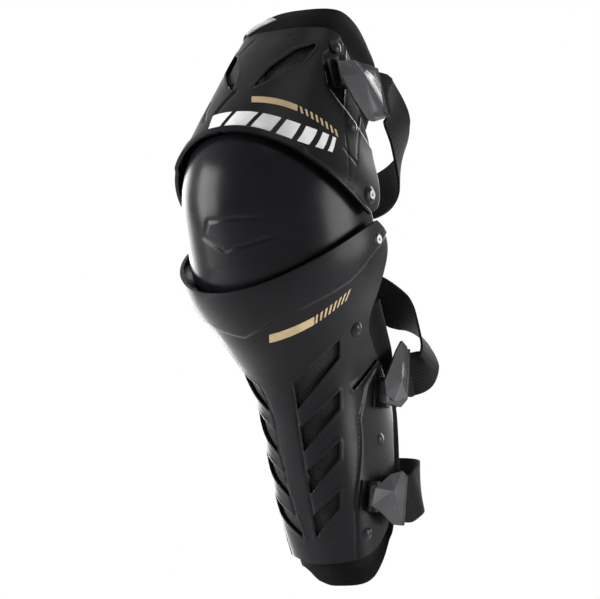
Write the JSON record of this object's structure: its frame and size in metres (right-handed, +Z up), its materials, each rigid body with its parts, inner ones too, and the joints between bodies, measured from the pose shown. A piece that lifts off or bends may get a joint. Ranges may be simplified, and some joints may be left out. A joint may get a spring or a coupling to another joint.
{
  "type": "knee and shin guard",
  "caption": "Hinged knee and shin guard: a thigh shell and a shin shell turn on a domed knee cup, padded inside and held on the leg by elastic straps with swinging clips.",
  "frame": {"origin": "centre of the knee, midway between the thigh and shin pivots", "axes": "+Z up the leg, -Y to the front of the leg, +X to the wearer's outer side (left leg)"},
  "size_m": [0.1796, 0.2485, 0.4788],
  "materials": {
    "thigh_plastic": "satin moulded",
    "shin_plastic": "satin moulded",
    "cup_plastic": "satin moulded",
    "pad_fabric": "stitched knit over foam",
    "mesh_fabric": "perforated",
    "webbing": "woven elastic",
    "clip_plastic": "moulded grey",
    "seat_plastic": "moulded black",
    "steel": "brushed",
    "rivet_black": "black oxide",
    "pivot_black": "gloss black"
  },
  "bodies": {
    "shin": {"shin_shell": "shin_plastic", "shin_mesh": "mesh_fabric", "shin_pad": "pad_fabric", "shin_rivets": "rivet_black", "shin_rivet_washers": "steel", "shin_upper_seat": "seat_plastic", "shin_upper_clip_pin": "steel", "shin_upper_strap": "webbing", "shin_lower_seat": "seat_plastic", "shin_lower_clip_pin": "steel", "shin_lower_strap": "webbing", "shin_seat_nuts": "steel", "shin_anchor_plates": "seat_plastic"},
    "knee": {"knee_cup": "cup_plastic", "knee_pad": "pad_fabric", "thigh_pivot_pin_outer": "pivot_black", "thigh_pivot_pin_inner": "pivot_black", "shin_pivot_pin_outer": "pivot_black", "shin_pivot_pin_inner": "pivot_black", "pivot_spacers": "steel", "pivot_nuts": "steel"},
    "thigh": {"thigh_shell": "thigh_plastic", "thigh_mesh": "mesh_fabric", "thigh_pad": "pad_fabric", "thigh_rivets": "rivet_black", "thigh_rivet_washers": "steel", "thigh_seat": "seat_plastic", "thigh_clip_pin": "steel", "thigh_strap": "webbing", "thigh_seat_nuts": "steel", "thigh_anchor_plate": "seat_plastic"},
    "thigh_clip": {"thigh_clip": "clip_plastic"},
    "shin_upper_clip": {"shin_upper_clip": "clip_plastic"},
    "shin_lower_clip": {"shin_lower_clip": "clip_plastic"}
  },
  "joints": [
    {"name": "shin_pivot", "type": "hinge", "parent": "shin", "child": "knee", "pos_m": [0, 0.005, -0.018], "axis": [-1, 0, 0], "range_deg": [-12, 32], "deforming": ["thigh_strap", "shin_upper_strap"]},
    {"name": "thigh_pivot", "type": "hinge", "parent": "knee", "child": "thigh", "pos_m": [0, -0.005, 0.018], "axis": [-1, 0, 0], "range_deg": [-12, 32], "deforming": ["thigh_strap", "shin_upper_strap"]},
    {"name": "thigh_clip_hinge", "type": "hinge", "parent": "thigh", "child": "thigh_clip", "pos_m": [0.06466, -0.00935, 0.12413], "axis": [0.277, -0.0526, -0.9594], "range_deg": [0, 50], "deforming": ["thigh_strap"]},
    {"name": "shin_upper_clip_hinge", "type": "hinge", "parent": "shin", "child": "shin_upper_clip", "pos_m": [0.05311, 0.06702, -0.13747], "axis": [-0.062, -0.0084, -0.998], "range_deg": [0, 50], "deforming": ["shin_upper_strap"]},
    {"name": "shin_lower_clip_hinge", "type": "hinge", "parent": "shin", "child": "shin_lower_clip", "pos_m": [0.05016, 0.05534, -0.22572], "axis": [-0.0954, 0.0084, -0.9954], "range_deg": [0, 50], "deforming": ["shin_lower_strap"]}
  ]
}
